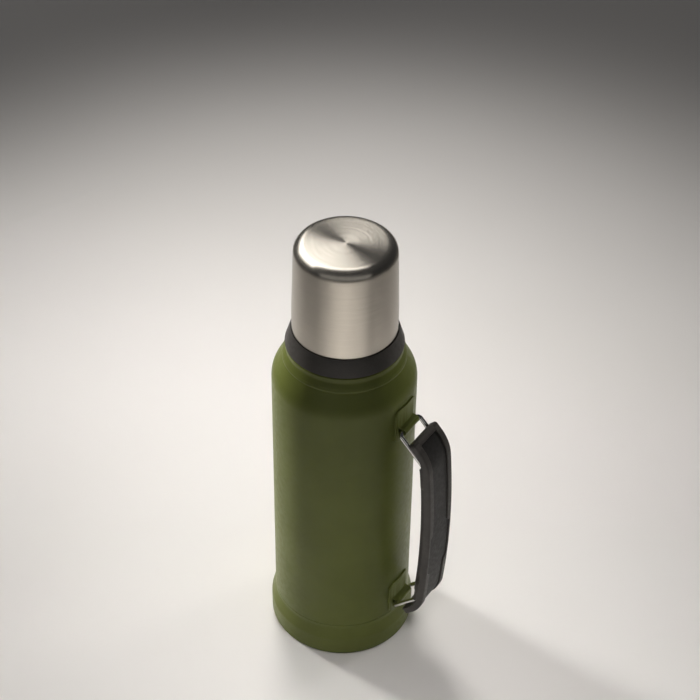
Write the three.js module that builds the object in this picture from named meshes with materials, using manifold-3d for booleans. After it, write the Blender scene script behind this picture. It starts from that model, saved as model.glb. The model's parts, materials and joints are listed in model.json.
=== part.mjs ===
// Vacuum flask: a double-walled steel bottle with a screw stopper, a screw-on
// drinking cup and a rigid side handle carried on two wire bails.
// Millimetres, +Z up. The flask stands on z = 0 on the Z axis, and its handle is on +X.

import * as THREE from 'three';
import { mergeVertices } from 'three/addons/utils/BufferGeometryUtils.js';
import Module from 'manifold-3d';

// ---- Driving dimensions ----

const gap = 0.3;               // between faces that touch
const runningGap = 0.7;        // between pieces that unscrew past each other
const roundSteps = 32;         // facets around a turned piece
const steelWall = 0.6;

// Bottle
const bodyRadius = 50;
const shelfHeight = 262;       // base to the shelf on which the collar sits
const shoulderInset = 7.5;     // neck bead inside the body's side
const shelfInset = 2.3;        // shelf's edge inside the neck bead
const beadDrop = 10.3;         // shelf down to the bead's lower edge
const shoulderDrop = 11.2;     // bead down to the turn of the shoulder
const shoulderTurn = 5.5;      // height of the turn into the body's side
const shoulderEase = 1;        // how far the turn comes in from the side
const slopeStart = 2.2;        // turn's top up to where the straight slope starts
const beadEdge = 0.6;          // half the height of the bead's upright edge
const beadTop = 2.4;           // bead's middle up to its upper corner
const neckFoot = 4.5;          // shelf down to where the neck meets the bead's back
const shelfRound = 1;          // corner at the shelf's edge
const mouthRadius = 25.5;
const neckRise = 27.7;         // shelf up to the mouth's rim
const vacuumSpace = 5;         // between the two walls
const neckVacuum = 1.6;        // the same in the neck
const linerFloor = 15;         // underside of the inner bottle
const linerDish = 8;           // radius of the inner bottle's bottom corner
const bottomDiscHeight = 9;    // underside of the disc that closes the vacuum
const getterRadius = 6;
const getterThickness = 2;
const getterOffset = 18;       // from the flask's axis
const sealHole = 1.8;          // radius of the hole through which the space is pumped out
const sealRadius = 4;
const sealDepth = 1.4;

// Boot
const bootHeight = 29;
const bootFlare = 3;           // how far the boot stands out from the body
const bootStraight = 15;       // height of its upright part
const footRound = 4;
const footRingWidth = 9;
const centrePadRadius = 22;
const baseRecess = 2.5;

// Collar and threads
const collarSeam = 0.4;        // open line under the collar
const collarDrop = 12.6;       // height of the black cone
const collarInset = 1.8;       // cone's foot inside the neck bead
const collarWall = 3;
const lipWidth = 0.55;
const lipRise = 1.2;
const collarTubeRise = 26.5;   // shelf up to the top of the threaded tube
const threadDepth = 0.9;
const neckThreadDepth = 0.6;   // of the ridge rolled into the mouth
const threadPitch = 5;
const threadTurns = 1.5;

// Cup
const cupHeight = 68.7;        // above the collar's lip
const cupTaper = 1.65;         // how much smaller the radius is at the top
const cupRound = 7.5;
const cupLinerWall = 1;
const cupRingWall = 1.3;
const gasketThickness = 1.6;

// Stopper
const headOverhang = 1.4;      // stopper's head past the neck tube
const stopperHeadHeight = 13;
const plugDepth = 31;
const plugWall = 2;
const plugClearance = 1.7;
const lidThickness = 2.5;
const lidMargin = 4;
const fluteCount = 12;
const fluteRadius = 2.6;
const headEdge = 2.5;          // corner at the head's top
const grooveRise = 4;          // plug's end up to the seal's groove
const grooveHeight = 3;
const grooveDepth = 0.8;

// Handle
const tunnelDrop = 23.5;       // shoulder's turn down to the upper bracket's tunnel
const tunnelRise = 11.5;       // boot's edge up to the lower bracket's tunnel
const wireRadius = 1.6;
const plateThickness = 0.9;
const plateHeight = 29;
const plateAboveTunnel = 18.5;
const plateCorner = 5;
const plateSide = 3.1;         // plate beyond the tunnel's end
const bailBend = 3;
const gripBend = 6;
const gripStandOff = 32;       // body's side to the grip's outer face
const gripWidth = 30;
const gripArch = 650;          // radius of the long outer face
const headStart = 23.5;        // tunnel down to where the grip's long face ends
const headBend = 30;           // radius where the face turns in to a head
const headLean = 45;           // degrees
const headLength = 7;
const outerHalf = 5;           // thickness of the outer half
const innerRidge = 5.5;        // how far the inner half's ridge stands inward
const innerBoss = 2.4;         // the same at the ends that hold the wires
const ridgeInset = 3.6;        // ridge's side inside the grip's side
const ridgeBevel = 3;
const ridgeShort = 6;          // ridge's end short of the boss's end
const bossInside = 15.3;       // the boss, from the end of the long face
const bossOutside = 5;
const wireEntry = 16;          // degrees around the head's bend
const railWidth = 5.4;
const panelBorder = 5;
const panelRecess = 2.5;
const panelSunk = 1;
const wideExtra = 3;           // the panel's extra half width in its wide stretch
const wideTop = 3;             // the wide stretch, from the handle's centre
const wideBottom = -38;
const endScrew = 6;            // outer screws, from the end of the long face
const midScrew = 20;           // inner screws, from the handle's centre
const screwRadius = 1.2;
const screwHeadRadius = 2.6;
const screwHeadHeight = 1.8;

// ---- Sizes that follow ----

const neckRadius = bodyRadius - shoulderInset;
const shelfRadius = neckRadius - shelfInset;
const rimHeight = shelfHeight + neckRise;
const linerNeckRadius = mouthRadius + steelWall;
const tubeRadius = linerNeckRadius + neckVacuum + steelWall;
const stopperHeadRadius = tubeRadius + headOverhang;
const collarBore = tubeRadius + gap;
const collarTubeRadius = collarBore + collarWall;
const cupThreadTip = collarTubeRadius + threadDepth + gap;
const cupThreadRoot = cupThreadTip + threadDepth;
const cupRingRadius = cupThreadRoot + cupRingWall;
const cupRadius = cupRingRadius + gap + steelWall;
const lipInside = cupRadius + gap;
const lipHeight = shelfHeight + collarSeam + collarDrop;
const seatHeight = lipHeight - lipRise;
const collarFootRadius = neckRadius - collarInset;
const collarTop = shelfHeight + collarTubeRise;
const cupRimHeight = seatHeight + gap;
const cupTop = lipHeight + cupHeight;
const cupRingTop = collarTop;
const gasketBottom = collarTop + gap;
const headUnderside = rimHeight + gasketThickness + 2 * gap;
const plugRadius = mouthRadius - plugClearance;
const stopperOutside = mouthRadius - neckThreadDepth - gap;
const linerRadius = bodyRadius - steelWall - vacuumSpace;
const spigotRadius = bodyRadius - steelWall - gap;
const beadHeight = shelfHeight - beadDrop;
const shoulderHeight = beadHeight - shoulderDrop;
const upperTunnel = shoulderHeight - shoulderTurn - tunnelDrop;
const lowerTunnel = bootHeight + tunnelRise;
const handleHeight = (upperTunnel + lowerTunnel) / 2;
const tunnelOffset = (upperTunnel - lowerTunnel) / 2;
const gripStraight = tunnelOffset - headStart;
const bossStart = gripStraight - bossInside;
const bossEnd = gripStraight + bossOutside;
const screwHeights = [gripStraight - endScrew, midScrew, -midScrew, endScrew - gripStraight];
const wireX = bodyRadius + gap + plateThickness + gap + wireRadius;
const gripReach = bodyRadius + gripStandOff;
const gripHalf = gripWidth / 2;
const legSide = gripHalf - wireRadius - 1.2;
const tunnelHalf = legSide - bailBend - gap;
const plateWidth = 2 * (tunnelHalf + plateSide);

// ---- Materials ----

function finish(color, roughness, metalness) {
  return () => new THREE.MeshStandardMaterial({ color, roughness, metalness });
}

const oliveCoat = finish(0x5a6434, 0.42, 0.1);
const brushedSteel = finish(0xb5b0a8, 0.32, 1);
const plainSteel = finish(0xa8a6a2, 0.3, 1);
const polishedWire = finish(0xc8c6c2, 0.15, 1);
const blackPlastic = finish(0x2a2827, 0.55, 0);
const softBlack = finish(0x302e2c, 0.7, 0);
const greyRubber = finish(0x8a8a88, 0.8, 0);
const paleFoam = finish(0xe4dfce, 0.95, 0);
const glassSeal = finish(0x6f7f86, 0.2, 0);

// ---- Solids ----

const wasm = await Module();
wasm.setup();

// A welded copy of a geometry, with its faces pointing out.
function weld(geometry) {
  const bare = geometry.clone();
  bare.deleteAttribute('normal');
  bare.deleteAttribute('uv');
  const merged = mergeVertices(bare, 1e-4);
  const place = merged.getAttribute('position');
  const corner = (i) => new THREE.Vector3().fromBufferAttribute(place, i);
  const faces = [];
  let volume = 0;
  for (let i = 0; i < merged.index.count; i += 3) {
    const [a, b, c] = [0, 1, 2].map((k) => merged.index.getX(i + k));
    if (a === b || b === c || c === a) continue;
    volume += corner(a).dot(corner(b).cross(corner(c)));
    faces.push([a, b, c]);
  }
  merged.setIndex(faces.flatMap(([a, b, c]) => (volume > 0 ? [a, b, c] : [a, c, b])));
  return merged;
}

function toManifold(geometry) {
  return new wasm.Manifold(new wasm.Mesh({
    numProp: 3,
    vertProperties: new Float32Array(geometry.getAttribute('position').array),
    triVerts: new Uint32Array(geometry.index.array),
  }));
}

function fromManifold(solid) {
  const { vertProperties, triVerts } = solid.getMesh();
  const geometry = new THREE.BufferGeometry();
  geometry.setAttribute('position', new THREE.BufferAttribute(vertProperties, 3));
  geometry.setIndex(new THREE.BufferAttribute(triVerts, 1));
  return geometry;
}

function join(base, ...others) {
  return fromManifold(others.reduce((sum, other) => sum.add(toManifold(other)), toManifold(base)));
}

function cut(base, ...others) {
  return fromManifold(others.reduce((rest, other) => rest.subtract(toManifold(other)), toManifold(base)));
}

// ---- Outlines, as points of radius and height ----

const at = (x, y) => new THREE.Vector2(x, y);

function arc(x, y, radius, fromDegrees, toDegrees, steps) {
  return Array.from({ length: steps + 1 }, (_, i) => {
    const angle = THREE.MathUtils.degToRad(fromDegrees + (toDegrees - fromDegrees) * i / steps);
    return at(x + radius * Math.cos(angle), y + radius * Math.sin(angle));
  });
}

// The line moved to its left by a distance, with mitred corners.
function offsetLine(line, distance) {
  const normal = (a, b) => at(a.y - b.y, b.x - a.x).normalize();
  return line.map((point, i) => {
    const before = normal(line[Math.max(i - 1, 0)], line[Math.max(i, 1)]);
    const after = normal(line[Math.min(i, line.length - 2)], line[Math.min(i + 1, line.length - 1)]);
    const middle = before.clone().add(after).normalize();
    return point.clone().addScaledVector(middle, distance / middle.dot(before));
  });
}

// A sheet's closed outline: the line that is its outside, and its inside a wall away.
function sheetOutline(line, wall) {
  return [...line, ...offsetLine(line, wall).reverse()];
}

function turned(outline, steps = roundSteps) {
  const closed = outline[0].x < 1e-6 && outline.at(-1).x < 1e-6 ? outline : [...outline, outline[0]];
  return weld(new THREE.LatheGeometry(closed, steps).rotateX(Math.PI / 2));
}

function ring(inside, outside, bottom, top) {
  return turned([at(inside, bottom), at(outside, bottom), at(outside, top), at(inside, top)]);
}

function disc(radius, bottom, top, steps = roundSteps) {
  return turned([at(0, bottom), at(radius, bottom), at(radius, top), at(0, top)], steps);
}

// A route whose points are also the steps of what is swept along it.
class Route extends THREE.Curve {
  constructor(points) {
    super();
    this.points = points;
  }

  getUtoTmapping(u) {
    return u;
  }

  getPoint(t) {
    const place = t * (this.points.length - 1);
    const i = Math.min(Math.floor(place), this.points.length - 2);
    return this.points[i].clone().lerp(this.points[i + 1], place - i);
  }
}

function swept(points, outline) {
  const options = { steps: points.length - 1, extrudePath: new Route(points) };
  return weld(new THREE.ExtrudeGeometry(new THREE.Shape(outline), options));
}

function rod(points, radius, sides = 8) {
  return swept(points, arc(0, 0, radius, 0, 360 - 360 / sides, sides - 1));
}

// A screw thread's ridge around the Z axis, its root sunk a little into what carries it.
function threadRidge(rootRadius, tipRadius, bottom) {
  const sunk = Math.sign(rootRadius - tipRadius) * 0.4;
  const steps = Math.round(threadTurns * roundSteps);
  const points = Array.from({ length: steps + 1 }, (_, i) => {
    const angle = i / steps * threadTurns * 2 * Math.PI;
    const height = bottom + i / steps * threadTurns * threadPitch;
    return new THREE.Vector3(rootRadius * Math.cos(angle), rootRadius * Math.sin(angle), height);
  });
  const depth = tipRadius - rootRadius;
  const geometry = new THREE.BufferGeometry();
  const section = [[sunk, -1.2], [depth, -0.5], [depth, 0.5], [sunk, 1.2]];
  const corners = points.flatMap((point) => section.map(([out, up]) => {
    const radius = rootRadius + out;
    return [point.x / rootRadius * radius, point.y / rootRadius * radius, point.z + up];
  }));
  const faces = [[0, 1, 2], [0, 2, 3]];
  for (let i = 0; i < steps; i += 1) {
    for (let k = 0; k < 4; k += 1) {
      const [a, b] = [4 * i + k, 4 * i + (k + 1) % 4];
      faces.push([a, a + 4, b], [b, a + 4, b + 4]);
    }
  }
  const last = 4 * steps;
  faces.push([last, last + 2, last + 1], [last, last + 3, last + 2]);
  geometry.setAttribute('position', new THREE.Float32BufferAttribute(corners.flat(), 3));
  geometry.setIndex(faces.flat());
  return weld(geometry);
}

// ---- Assembly ----

const flask = new THREE.Group();

function add(name, geometry, material) {
  const mesh = new THREE.Mesh(geometry, material());
  mesh.name = name;
  flask.add(mesh);
  return mesh;
}

// ---- Bottle ----

function outerShellLine() {
  const shoulderRadius = bodyRadius - shoulderEase;
  return [
    at(spigotRadius, bottomDiscHeight),
    at(spigotRadius, bootHeight + gap),
    at(bodyRadius, bootHeight + gap),
    at(bodyRadius, shoulderHeight - shoulderTurn),
    at(bodyRadius - 0.25 * shoulderEase, shoulderHeight - shoulderTurn / 2),
    at(shoulderRadius, shoulderHeight),
    at(shoulderRadius - 2 * shoulderEase, shoulderHeight + slopeStart),
    at(neckRadius, beadHeight - beadEdge),
    at(neckRadius + 0.1, beadHeight + beadEdge),
    at(neckRadius - beadEdge, beadHeight + beadTop),
    at(shelfRadius - 0.2, shelfHeight - neckFoot),
    at(shelfRadius, shelfHeight - shelfRound),
    at(shelfRadius - 0.9 * shelfRound, shelfHeight),
    at(tubeRadius, shelfHeight),
    at(tubeRadius, rimHeight - steelWall - gap),
  ];
}

function buildBottle() {
  add('outer_shell', turned(sheetOutline(outerShellLine(), steelWall)), oliveCoat);

  const dishRadius = linerRadius - linerDish;
  const linerShoulder = beadHeight - vacuumSpace - steelWall;
  const linerThroat = shelfHeight - 12;
  const linerLine = [
    at(linerRadius, linerFloor + linerDish + 2 * gap),
    at(linerRadius, linerShoulder - 21),
    at(linerRadius - 1.6, linerShoulder - 14.5),
    at(neckRadius - vacuumSpace, linerShoulder - 5),
    at(linerNeckRadius + 3, linerThroat - 1.2),
    at(linerNeckRadius, linerThroat + 2),
    at(linerNeckRadius, rimHeight - steelWall),
    at(tubeRadius, rimHeight - steelWall),
  ];
  const stopperThread = threadRidge(mouthRadius, mouthRadius - neckThreadDepth, rimHeight - 14);
  add('inner_liner', join(turned(sheetOutline(linerLine, steelWall)), stopperThread), plainSteel);

  const dishLine = [
    at(0, linerFloor),
    ...arc(dishRadius, linerFloor + linerDish, linerDish, -90, 0, 3),
  ];
  add('liner_base', turned(sheetOutline(dishLine, steelWall)), plainSteel);

  const discTop = bottomDiscHeight + steelWall;
  const bottomRadius = spigotRadius - steelWall - gap;
  add('shell_bottom', ring(sealHole, bottomRadius, bottomDiscHeight, discTop), plainSteel);

  const sealLine = [
    at(0, bottomDiscHeight - sealDepth),
    at(sealRadius, bottomDiscHeight - sealDepth),
    at(sealRadius, bottomDiscHeight - gap),
    at(sealHole - gap, bottomDiscHeight - gap),
    at(sealHole - gap, discTop + 0.4),
    at(0, discTop + 0.4),
  ];
  add('evacuation_seal', turned(sealLine, 16), glassSeal);

  add('getter', disc(getterRadius, 0, getterThickness, 16), plainSteel)
    .position.set(getterOffset, 0, linerFloor - gap - getterThickness);
}

function buildBoot() {
  const outside = bodyRadius + bootFlare;
  const footEdge = outside - footRound;
  const line = [
    at(0, 0),
    at(centrePadRadius, 0),
    at(centrePadRadius + 2, baseRecess),
    at(footEdge - footRingWidth - 2, baseRecess),
    at(footEdge - footRingWidth, 0),
    ...arc(footEdge, footRound, footRound, -90, 0, 3),
    at(outside, bootStraight),
    at(outside - 0.25 * bootFlare, bootStraight + 0.3 * (bootHeight - bootStraight)),
    at(outside - 0.75 * bootFlare, bootStraight + 0.65 * (bootHeight - bootStraight)),
    at(bodyRadius, bootHeight),
  ];
  add('base_cup', turned(sheetOutline(line, steelWall)), oliveCoat);
}

// ---- Collar ----

function buildCollar() {
  const foot = shelfHeight + collarSeam;
  const underDeck = seatHeight - collarWall;
  const skin = 2.5;
  const outline = [
    at(collarBore, foot),
    at(collarTubeRadius, foot),
    at(collarTubeRadius, underDeck),
    at(lipInside + lipWidth - skin, underDeck),
    at(collarFootRadius - skin, foot),
    at(collarFootRadius, foot),
    at(lipInside + lipWidth, lipHeight),
    at(lipInside, lipHeight),
    at(lipInside, seatHeight),
    at(collarTubeRadius, seatHeight),
    at(collarTubeRadius, collarTop),
    at(collarBore, collarTop),
  ];
  const ridge = threadRidge(collarTubeRadius, collarTubeRadius + threadDepth, seatHeight + 3.5);
  add('neck_collar', join(turned(outline), ridge), blackPlastic);
}

// ---- Cup ----

// The cup's side is upright around its thread ring, and tapers above it.
function cupLine(inset, bottom) {
  const round = cupRound - inset;
  const side = cupRadius - inset;
  const start = Math.max(bottom, cupRingTop + gap);
  return [
    ...(bottom < start ? [at(side, bottom)] : []),
    at(side, start),
    ...arc(side - cupTaper - round, cupTop - inset - round, round, 0, 90, 4),
    at(0, cupTop - inset),
  ];
}

function buildCup() {
  add('cup_shell', turned(sheetOutline(cupLine(0, cupRimHeight), steelWall)), brushedSteel);

  const linerBottom = gasketBottom + gasketThickness + gap;
  const linerInset = steelWall + gap;
  add('cup_liner', turned(sheetOutline(cupLine(linerInset, linerBottom), cupLinerWall)), plainSteel);

  const ringBody = ring(cupThreadRoot, cupRingRadius, cupRimHeight, cupRingTop);
  const ridge = threadRidge(cupThreadRoot, cupThreadTip, seatHeight + 3.5);
  add('cup_thread_ring', join(ringBody, ridge), blackPlastic);

  const gasket = ring(stopperHeadRadius + runningGap, cupRingRadius - gap,
    gasketBottom, gasketBottom + gasketThickness);
  add('cup_gasket', gasket, greyRubber);
}

// ---- Stopper ----

function buildStopper() {
  const headTop = headUnderside + stopperHeadHeight;
  const plugBottom = rimHeight - plugDepth;
  const coreRadius = plugRadius - grooveDepth - plugWall - gap;
  const coreBottom = plugBottom + plugWall + gap;
  const lidBottom = headTop - lidThickness;
  const lidRadius = stopperHeadRadius - lidMargin;
  const seatRadius = lidRadius + gap;
  const sealGroove = plugBottom + grooveRise;
  const outline = [
    at(0, plugBottom),
    at(plugRadius - 1.5, plugBottom),
    at(plugRadius, plugBottom + 1.5),
    at(plugRadius, sealGroove),
    at(plugRadius - grooveDepth, sealGroove),
    at(plugRadius - grooveDepth, sealGroove + grooveHeight),
    at(plugRadius, sealGroove + grooveHeight),
    at(plugRadius, headUnderside),
    at(stopperHeadRadius - 1, headUnderside),
    at(stopperHeadRadius, headUnderside + 1),
    at(stopperHeadRadius, headTop - headEdge),
    at(stopperHeadRadius - headEdge, headTop),
    at(seatRadius, headTop),
    at(seatRadius, lidBottom - gap),
    at(coreRadius + gap, lidBottom - gap),
    at(coreRadius + gap, coreBottom - gap),
    at(0, coreBottom - gap),
  ];
  const fluteOut = stopperHeadRadius + 0.5 * fluteRadius;
  const fluteCuts = Array.from({ length: fluteCount }, (_, i) => {
    const angle = 2 * Math.PI * (i + 0.5) / fluteCount;
    return disc(fluteRadius, headUnderside + 2, headTop + 1, 8)
      .translate(fluteOut * Math.cos(angle), fluteOut * Math.sin(angle), 0);
  });
  const thread = threadRidge(plugRadius, stopperOutside, rimHeight - 12);
  add('stopper_shell', cut(join(turned(outline), thread), ...fluteCuts), blackPlastic);

  const lidLine = [
    at(0, lidBottom), at(lidRadius, lidBottom), at(lidRadius, headTop - 0.8),
    at(lidRadius - 0.8, headTop), at(0, headTop),
  ];
  add('stopper_lid', turned(lidLine), softBlack);
  add('stopper_core', disc(coreRadius, coreBottom, lidBottom - gap), paleFoam);

  const gasketLow = rimHeight + gap;
  const gasket = ring(plugRadius + runningGap, tubeRadius, gasketLow, gasketLow + gasketThickness);
  add('stopper_gasket', gasket, greyRubber);
  const seal = ring(plugRadius - grooveDepth + gap, stopperOutside,
    sealGroove + gap, sealGroove + grooveHeight - gap);
  add('stopper_seal', seal, greyRubber);
}

// ---- Handle ----

const archCentre = gripReach - gripArch;
const turnAngle = THREE.MathUtils.radToDeg(Math.asin(gripStraight / gripArch));
const turnX = archCentre + (gripArch - headBend) * Math.cos(THREE.MathUtils.degToRad(turnAngle));
const turnZ = (gripArch - headBend) * Math.sin(THREE.MathUtils.degToRad(turnAngle));

// The grip's side view at a depth under its outer face, from its top end to its bottom end.
// X is the distance from the flask's axis, and Y the height from the handle's centre.
function gripLine(depth, border = 0) {
  const bend = arc(turnX, turnZ, headBend - depth, headLean, turnAngle, 4);
  const lean = THREE.MathUtils.degToRad(headLean);
  const length = headLength - border;
  const end = bend[0].clone().add(at(-Math.sin(lean), Math.cos(lean)).multiplyScalar(length));
  const face = arc(archCentre, 0, gripArch - depth, turnAngle, -turnAngle, 8).slice(1, -1);
  const upper = length > 0 ? [end, ...bend] : bend;
  const lower = upper.map((point) => at(point.x, -point.y)).reverse();
  return [...upper, ...face, ...lower];
}

// The distance from the axis of the grip's surface at a depth and a height from its centre.
function gripX(depth, height) {
  const line = gripLine(depth);
  const next = line.findIndex((point) => point.y <= height);
  const [a, b] = [line[next - 1], line[next]];
  return a.x + (b.x - a.x) * (height - a.y) / (b.y - a.y);
}

// A side view extruded across the grip, between two values of Y.
function across(outline, from, to, bevel = 0) {
  const options = {
    depth: to - from - 2 * bevel, bevelEnabled: bevel > 0, bevelSegments: 2,
    bevelThickness: bevel, bevelSize: bevel, bevelOffset: -bevel,
  };
  const geometry = new THREE.ExtrudeGeometry(new THREE.Shape(outline), options);
  return weld(geometry.translate(0, 0, from + bevel).rotateX(Math.PI / 2).scale(1, -1, 1));
}

function band(outer, inner, border = 0) {
  return [...gripLine(outer, border), ...gripLine(inner, border).reverse()];
}

function block(x0, x1, y0, y1, z0, z1) {
  const box = new THREE.BoxGeometry(x1 - x0, y1 - y0, z1 - z0);
  return weld(box.translate((x0 + x1) / 2, (y0 + y1) / 2, (z0 + z1) / 2));
}

// A rod along X at a height from the handle's centre.
function crossRod(radius, x0, x1, height, sides = 12) {
  const geometry = new THREE.CylinderGeometry(radius, radius, x1 - x0, sides);
  return weld(geometry.rotateZ(Math.PI / 2).translate((x0 + x1) / 2, 0, height));
}

// The route with its inner corners rounded.
function roundedRoute(corners, radii, steps) {
  return corners.flatMap((corner, i) => {
    if (!radii[i]) return [corner.clone()];
    const before = corners[i - 1].clone().sub(corner).normalize();
    const after = corners[i + 1].clone().sub(corner).normalize();
    const half = before.angleTo(after) / 2;
    const reach = radii[i] / Math.tan(half);
    const inward = before.clone().add(after).normalize();
    const centre = corner.clone().addScaledVector(inward, radii[i] / Math.sin(half));
    const start = corner.clone().addScaledVector(before, reach).sub(centre);
    const axis = start.clone().cross(inward.clone().negate()).normalize();
    const sweep = Math.PI - 2 * half;
    return Array.from({ length: steps + 1 }, (_, k) => (
      start.clone().applyAxisAngle(axis, sweep * k / steps).add(centre)
    ));
  });
}

// The upper bail's route, in heights from the handle's centre, with its ends run on a little.
function bailRoute(endRun = 0) {
  const depth = outerHalf + gap / 2;
  const entry = arc(turnX, turnZ, headBend - depth, wireEntry, wireEntry, 1)[0];
  const corner = (x, side, height) => new THREE.Vector3(x, side * legSide, height);
  const leg = (side) => [
    corner(gripX(depth, bossStart - endRun), side, bossStart - endRun),
    corner(entry.x, side, entry.y),
    corner(wireX, side, tunnelOffset),
  ];
  return roundedRoute([...leg(1), ...leg(-1).reverse()], [0, gripBend, bailBend, bailBend, gripBend, 0], 4);
}

const upsideDown = (geometry) => weld(geometry.clone().scale(1, 1, -1));

// A plate bent to the body's side, with a tunnel for the wire pressed out of it.
function buildBracket(name, tunnelHeight) {
  const inside = bodyRadius + gap;
  const low = plateAboveTunnel - plateHeight;
  const half = plateWidth / 2;
  const outline = new THREE.Shape([
    ...arc(half - plateCorner, plateAboveTunnel - plateCorner, plateCorner, 0, 90, 3),
    ...arc(plateCorner - half, plateAboveTunnel - plateCorner, plateCorner, 90, 180, 3),
    ...arc(plateCorner - half, low + plateCorner, plateCorner, 180, 270, 3),
    ...arc(half - plateCorner, low + plateCorner, plateCorner, 270, 360, 3),
  ]);
  const bore = wireRadius + gap;
  outline.holes.push(new THREE.Path([
    at(-tunnelHalf, -bore), at(-tunnelHalf, bore), at(tunnelHalf, bore), at(tunnelHalf, -bore),
  ]));
  const blank = new THREE.ExtrudeGeometry(outline, { depth: bodyRadius, bevelEnabled: false });
  blank.rotateX(Math.PI / 2).rotateZ(Math.PI / 2).translate(bodyRadius / 2, 0, 0);
  const sheet = ring(inside, inside + plateThickness, low, plateAboveTunnel);
  const plate = fromManifold(toManifold(weld(blank)).intersect(toManifold(sheet)));
  const archOutside = bore + plateThickness;
  const root = inside - plateThickness;
  const arch = across([
    at(root, -archOutside),
    ...arc(wireX, 0, archOutside, -90, 90, 6),
    at(root, archOutside),
    at(root, bore),
    ...arc(wireX, 0, bore, 90, -90, 6),
    at(root, -bore),
  ], -tunnelHalf, tunnelHalf);
  const solid = cut(join(plate, arch), disc(inside, low - 1, plateAboveTunnel + 1));
  add(name, solid, oliveCoat).position.z = tunnelHeight;
}

function buildHandle() {
  const handle = new THREE.Group();
  handle.position.z = handleHeight;
  flask.add(handle);
  const place = (name, geometry, material) => handle.add(add(name, geometry, material));

  buildBracket('upper_bracket', upperTunnel);
  buildBracket('lower_bracket', lowerTunnel);

  const bail = rod(bailRoute(), wireRadius);
  place('upper_bail', bail, polishedWire);
  place('lower_bail', upsideDown(bail), polishedWire);

  const grooveUp = rod(bailRoute(gap), wireRadius + gap);
  const grooves = [grooveUp, upsideDown(grooveUp)];
  const headDepth = outerHalf + innerRidge - screwHeadHeight;
  const screwTip = panelRecess + gap;

  // The panel's opening between two depths, made smaller all round by a margin.
  const everything = 2 * gripReach;
  const recess = (top, bottom, margin) => {
    const half = gripHalf - railWidth - margin;
    const plain = across(band(top, bottom, panelBorder + margin), -half, half);
    const wide = across(band(top, bottom), -half - wideExtra, half + wideExtra);
    const stretch = block(0, everything, -gripWidth, gripWidth, wideBottom + margin, wideTop - margin);
    return join(plain, fromManifold(toManifold(wide).intersect(toManifold(stretch))));
  };
  const holeReach = 40;
  const screwHoles = screwHeights.map((height) => {
    const end = gripX(0, height) - 1;
    return crossRod(screwRadius + gap, end - holeReach, end, height);
  });
  add('grip_outer', cut(across(band(0, outerHalf), -gripHalf, gripHalf), recess(-2, panelRecess, 0),
    ...grooves, ...screwHoles).translate(0, 0, handleHeight), blackPlastic);

  const ridgeHalf = gripHalf - ridgeInset;
  const ridge = across(band(0, outerHalf + gap + innerRidge), -ridgeHalf, ridgeHalf, ridgeBevel);
  const boss = across(band(0, outerHalf + gap + innerBoss), -gripHalf, gripHalf);
  const middle = block(0, everything, -gripWidth, gripWidth, -bossStart, bossStart);
  const ends = block(0, everything, -gripWidth, gripWidth, -bossEnd, bossEnd);
  const ridgeEnds = block(0, everything, -gripWidth, gripWidth, ridgeShort - bossEnd, bossEnd - ridgeShort);
  const inner = toManifold(boss).subtract(toManifold(middle)).intersect(toManifold(ends))
    .add(toManifold(ridge).intersect(toManifold(ridgeEnds)))
    .subtract(toManifold(across(band(-2, outerHalf + gap), -gripWidth, gripWidth)));
  const headHoles = screwHeights.map((height) => {
    const seat = gripX(headDepth, height);
    return crossRod(screwHeadRadius + gap, seat - holeReach, seat + gap, height);
  });
  add('grip_inner', cut(fromManifold(inner), ...grooves, ...screwHoles, ...headHoles)
    .translate(0, 0, handleHeight), blackPlastic);

  add('grip_panel', recess(panelSunk, panelRecess - gap, gap).translate(0, 0, handleHeight), softBlack);

  screwHeights.forEach((height, i) => {
    const seat = gripX(headDepth, height);
    const tip = gripX(screwTip, height);
    const screw = join(
      crossRod(screwRadius, seat - 0.5, tip, height),
      crossRod(screwHeadRadius, seat - screwHeadHeight, seat, height),
    );
    add(`grip_screw_${i + 1}`, screw.translate(0, 0, handleHeight), plainSteel);
  });
}

buildBottle();
buildBoot();
buildCollar();
buildCup();
buildStopper();
buildHandle();

export default flask;
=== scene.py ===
import json
from math import asin, cos, pi, radians, sin, sqrt, tan

import bmesh
import bpy
from mathutils import Matrix, Vector


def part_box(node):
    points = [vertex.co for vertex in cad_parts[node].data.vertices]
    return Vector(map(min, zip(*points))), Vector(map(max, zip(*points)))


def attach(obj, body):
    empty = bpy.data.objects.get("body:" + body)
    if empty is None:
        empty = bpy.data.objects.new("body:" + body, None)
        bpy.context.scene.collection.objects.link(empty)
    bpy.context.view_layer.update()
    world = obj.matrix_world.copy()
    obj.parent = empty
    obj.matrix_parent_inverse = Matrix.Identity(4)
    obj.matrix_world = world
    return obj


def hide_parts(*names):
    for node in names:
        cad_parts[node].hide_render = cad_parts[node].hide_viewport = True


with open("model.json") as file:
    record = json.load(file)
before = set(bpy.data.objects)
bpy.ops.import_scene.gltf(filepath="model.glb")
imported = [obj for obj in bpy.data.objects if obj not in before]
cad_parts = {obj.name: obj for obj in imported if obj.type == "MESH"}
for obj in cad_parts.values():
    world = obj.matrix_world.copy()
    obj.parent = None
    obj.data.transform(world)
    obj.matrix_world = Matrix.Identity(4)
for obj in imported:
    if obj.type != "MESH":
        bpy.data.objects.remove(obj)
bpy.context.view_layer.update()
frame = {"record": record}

mm = 0.001
seam = 0.3                         # between pieces that touch, in millimetres
softAngle = 38                     # faces that meet at less than this many degrees are shaded smooth
weldDistance = 0.001 * mm

bodies = frame["record"]["behaviour"]["bodies"]
bodyOfNode = {node: body for body, nodes in bodies.items() for node in nodes}


def lowEnd(node, axis="z"):        # a CAD node's lowest value on an axis, in millimetres
    return getattr(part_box(node)[0], axis) / mm


def highEnd(node, axis="z"):
    return getattr(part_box(node)[1], axis) / mm


def ends(node):                    # both ends of its height
    return lowEnd(node), highEnd(node)


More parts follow.
